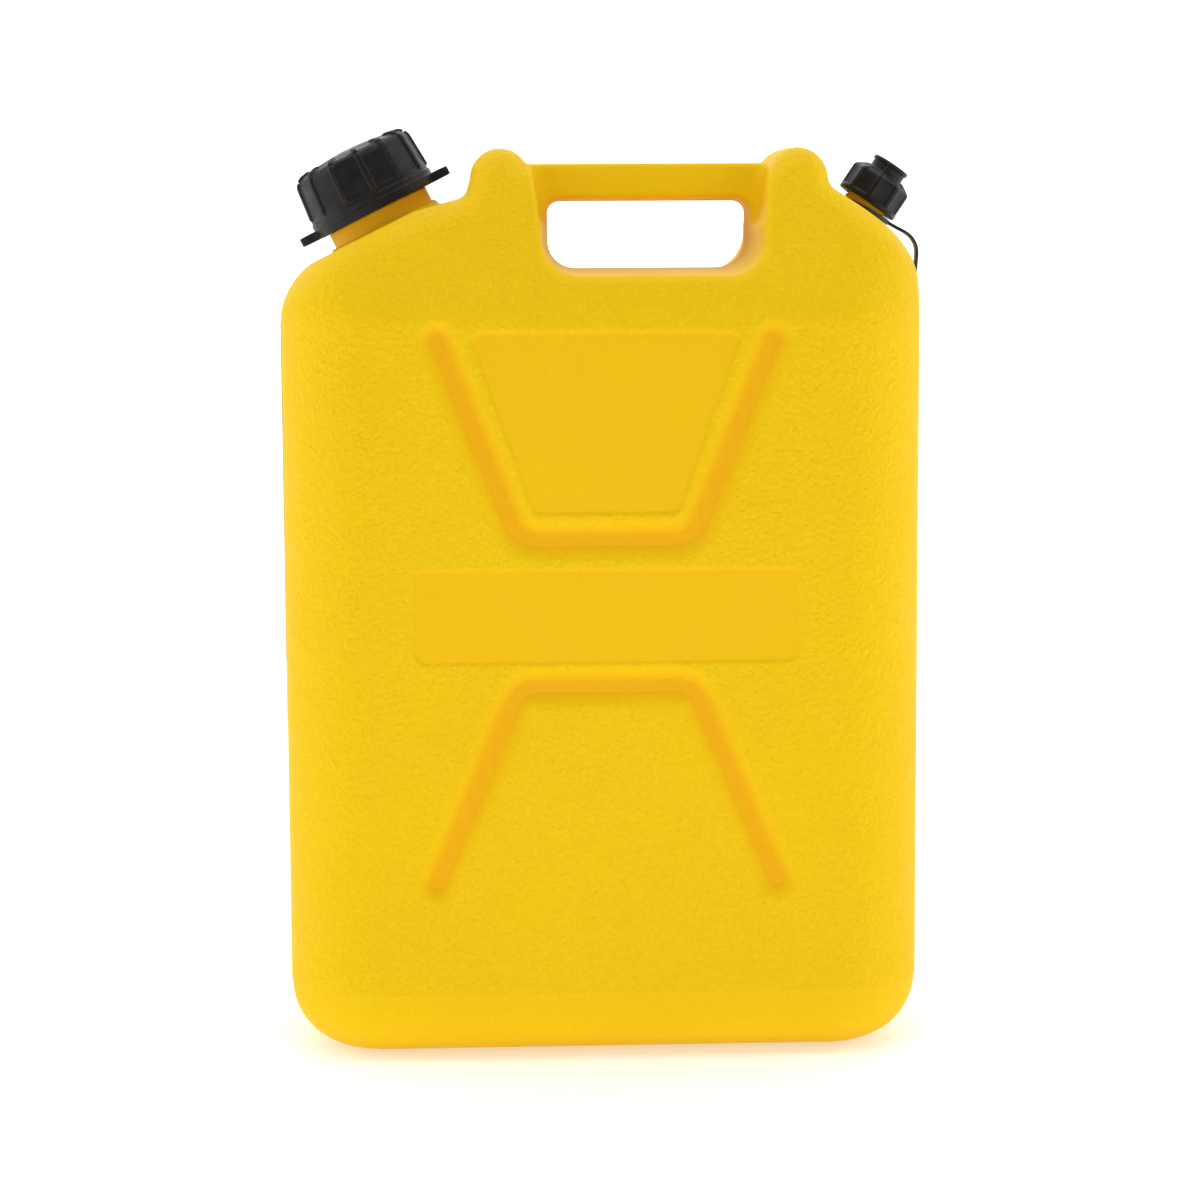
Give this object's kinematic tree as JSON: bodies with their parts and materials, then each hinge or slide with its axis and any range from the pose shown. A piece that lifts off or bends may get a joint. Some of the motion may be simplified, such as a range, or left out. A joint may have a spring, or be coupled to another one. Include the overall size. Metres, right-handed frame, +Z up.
{
  "type": "jerry can",
  "caption": "Upright moulded plastic jerry can with a hand hole, a ribbed screw cap on a slanted filler neck and a small vented cap with a strap.",
  "frame": {"origin": "middle of the flat base, on the surface the can stands on", "axes": "+X across the width towards the vent cap, -X towards the filler cap, +Y from the front face to the back face, +Z up"},
  "size_m": [0.2697, 0.145, 0.3861],
  "materials": {
    "yellow_shell": "grained matte with smooth bands",
    "black_cap": "satin",
    "seal_rubber": "matte",
    "label_film": "satin film"
  },
  "bodies": {
    "tank": {"tank_shell": "yellow_shell", "side_label": "label_film"},
    "filler_seal": {"filler_cap_seal": "seal_rubber"},
    "filler_top": {"filler_cap": "black_cap"},
    "vent_seal": {"vent_cap_seal": "seal_rubber"},
    "vent_top": {"vent_cap": "black_cap"},
    "strap": {"vent_strap": "black_cap"}
  },
  "joints": [
    {"name": "filler_cap_lift", "type": "slide", "parent": "tank", "child": "filler_seal", "axis": [-0.4431, 0, 0.8965], "range_m": [0, 0.024]},
    {"name": "filler_cap_turn", "type": "hinge", "parent": "filler_seal", "child": "filler_top", "pos_m": [-0.093, 0, 0.3506], "axis": [-0.4431, 0, 0.8965], "range_deg": [0, 1440]},
    {"name": "vent_cap_lift", "type": "slide", "parent": "tank", "child": "vent_seal", "axis": [0.5592, 0, 0.829], "range_m": [0, 0.012]},
    {"name": "vent_cap_turn", "type": "hinge", "parent": "vent_seal", "child": "vent_top", "pos_m": [0.1145, 0, 0.3528], "axis": [0.5592, 0, 0.829], "range_deg": [0, 1440]},
    {"name": "vent_strap_swivel", "type": "hinge", "parent": "tank", "child": "strap", "pos_m": [0.1145, 0, 0.3528], "axis": [0.5592, 0, 0.829], "range_deg": [-4, 4]}
  ],
  "couplings": [
    {"joint": "filler_cap_lift", "follows": "filler_cap_turn", "m_per_rad": 0.00095493},
    {"joint": "vent_cap_lift", "follows": "vent_cap_turn", "m_per_rad": 0.00047746}
  ]
}
